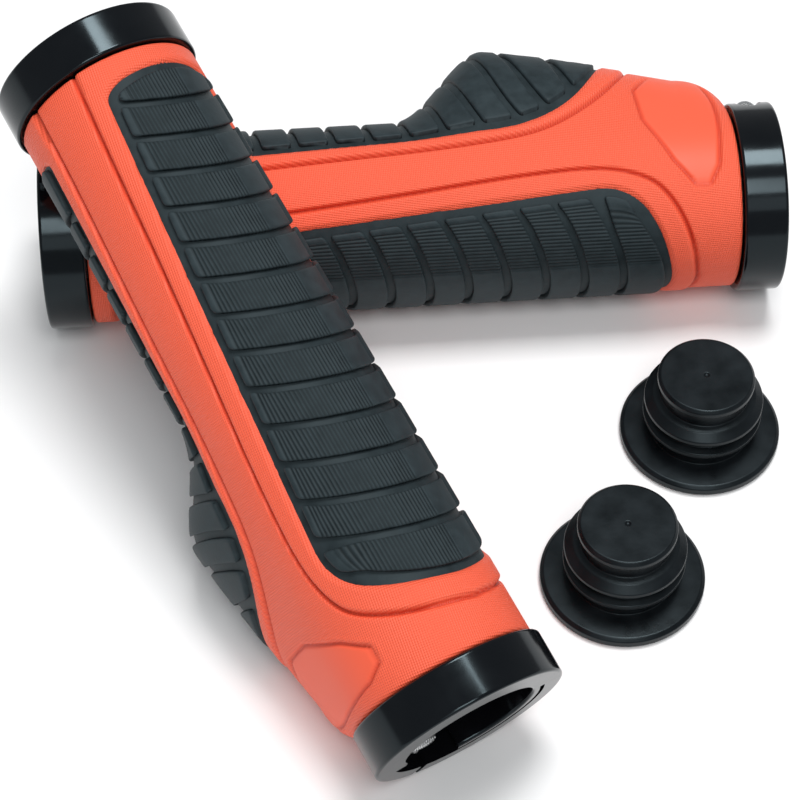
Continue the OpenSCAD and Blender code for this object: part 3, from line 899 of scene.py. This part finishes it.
def black_plastic(name, base, rough):
    """Moulded black plastic, smeared round its base colour and roughness."""
    mat, nodes, links, shader = new_material(name, base, rough, Specular_IOR_Level=0.22,
                                             Specular_Tint=(0.75, 0.93, 1.0, 1.0))
    coords = object_coords(nodes)
    smear = noise(nodes, links, coords, scale=220, detail=5)
    grain = noise(nodes, links, coords, scale=1500, detail=2)
    uneven = ramp(nodes, links, smear, low=rough - 0.14, high=rough + 0.24)
    links.new(uneven, shader.inputs["Roughness"])
    colour = tint(nodes, links, smear, dark=tuple(0.3 * c for c in base),
                  light=tuple(5 * c for c in base))
    links.new(colour, shader.inputs["Base Color"])
    normal = bump(nodes, links, grain, depth=0.02 * MM, strength=0.4)
    links.new(normal, shader.inputs["Normal"])
    return mat


def bolt_steel():
    """Bright steel of the bolts, lightly scuffed."""
    mat, nodes, links, shader = new_material("bolt_steel", (0.72, 0.73, 0.74), 0.25,
                                             Metallic=1.0)
    coords = object_coords(nodes)
    scuff = noise(nodes, links, coords, scale=900, detail=3)
    links.new(ramp(nodes, links, scuff, low=0.16, high=0.4), shader.inputs["Roughness"])
    colour = tint(nodes, links, scuff, dark=(0.6, 0.61, 0.62), light=(0.8, 0.8, 0.79))
    links.new(colour, shader.inputs["Base Color"])
    return mat


# ---------------------------------------------------------------- build

ORANGE = orange_rubber()
CHARCOAL = charcoal_rubber()
GLOSS = black_gloss()
SLEEVE = black_plastic("sleeve_plastic", (0.006, 0.006, 0.007), 0.36)
PLUG = black_plastic("plug_plastic", (0.002, 0.0025, 0.003), 0.28)
STEEL = bolt_steel()

RING = ring_mesh()
BOLT = bolt_mesh()

for grip in ("rear", "front"):
    soft_body(grip, ORANGE)
    pad(grip, "ribbed", CHARCOAL)
    pad(grip, "wing", CHARCOAL)
    sleeve_piece(grip, SLEEVE)
    for end, at in (("outer", 1), ("inner", -1)):
        ring, bolt = f"{grip}_{end}_ring", f"{grip}_{end}_bolt"
        hard_piece(RING, f"{grip}_{end}_clamp_ring", grip, at, ring, GLOSS)
        hard_piece(BOLT, f"{grip}_{end}_screw", grip, at, bolt, STEEL)
for name in ("plug_a", "plug_b"):
    plug_piece(name, PLUG)


# ---------------------------------------------------------------- stage

FLOOR_HALF, FLOOR_DROP = 3.0, 0.00005
CENTRE = (-0.006, -0.027, 0.0)
SKY, SKY_POWER = (0.94, 0.97, 1, 1), 0.33
CAMERA_AT, CAMERA_AIM = (-0.02612, -0.32221, 0.36492), (-0.004758, -0.028177, -0.0165)
CAMERA_LENS = 124.4


def facing(start, target):
    """Rotation that points a lamp or a camera from one place at another."""
    return (Vector(target) - Vector(start)).to_track_quat("-Z", "Y").to_euler()


def pale_floor():
    """Plain floor just under the plugs' flanges."""
    z = MOUNTS["plug_a_face"]["pos_m"][2] - FLOOR_DROP
    corners = ((-1, -1), (1, -1), (1, 1), (-1, 1))
    mesh = bpy.data.meshes.new("floor")
    mesh.from_pydata([(FLOOR_HALF * x, FLOOR_HALF * y, z) for x, y in corners],
                     [], [(0, 1, 2, 3)])
    floor = bpy.data.objects.new("floor", mesh)
    bpy.context.scene.collection.objects.link(floor)
    pale = new_material("pale_floor", (0.93, 0.93, 0.93), 0.9, Specular_IOR_Level=0.1)
    mesh.materials.append(pale[0])


def area_light(name, at, target, size, power):
    """Soft white light from a rectangle."""
    data = bpy.data.lights.new(name, "AREA")
    data.shape = "RECTANGLE"
    data.size, data.size_y = size
    data.energy = power
    lamp = bpy.data.objects.new(name, data)
    lamp.location = at
    lamp.rotation_euler = facing(at, target)
    bpy.context.scene.collection.objects.link(lamp)


pale_floor()
area_light("overhead_softbox", at=(0.17, 0.165, 1.5), target=(0.17, 0.1651, 0.0),
           size=(0.54, 0.5), power=15.5)
area_light("front_softbox", at=(0.05, -0.66, 1.12), target=CENTRE, size=(0.55, 0.4), power=5.5)
area_light("front_fill", at=(0.05, -1.02, 0.8), target=CENTRE, size=(0.8, 0.36), power=1.0)

world = bpy.data.worlds.new("studio")
world.use_nodes = True
world.node_tree.nodes["Background"].inputs["Color"].default_value = SKY
world.node_tree.nodes["Background"].inputs["Strength"].default_value = SKY_POWER
bpy.context.scene.world = world
bpy.context.scene.view_settings.view_transform = "Standard"

camera_data = bpy.data.cameras.new("camera")
camera_data.sensor_width = 36.0
camera_data.lens = CAMERA_LENS
camera_data.clip_start = 0.01
camera = bpy.data.objects.new("camera", camera_data)
camera.location = CAMERA_AT
camera.rotation_euler = facing(CAMERA_AT, CAMERA_AIM)
bpy.context.scene.collection.objects.link(camera)
bpy.context.scene.camera = camera
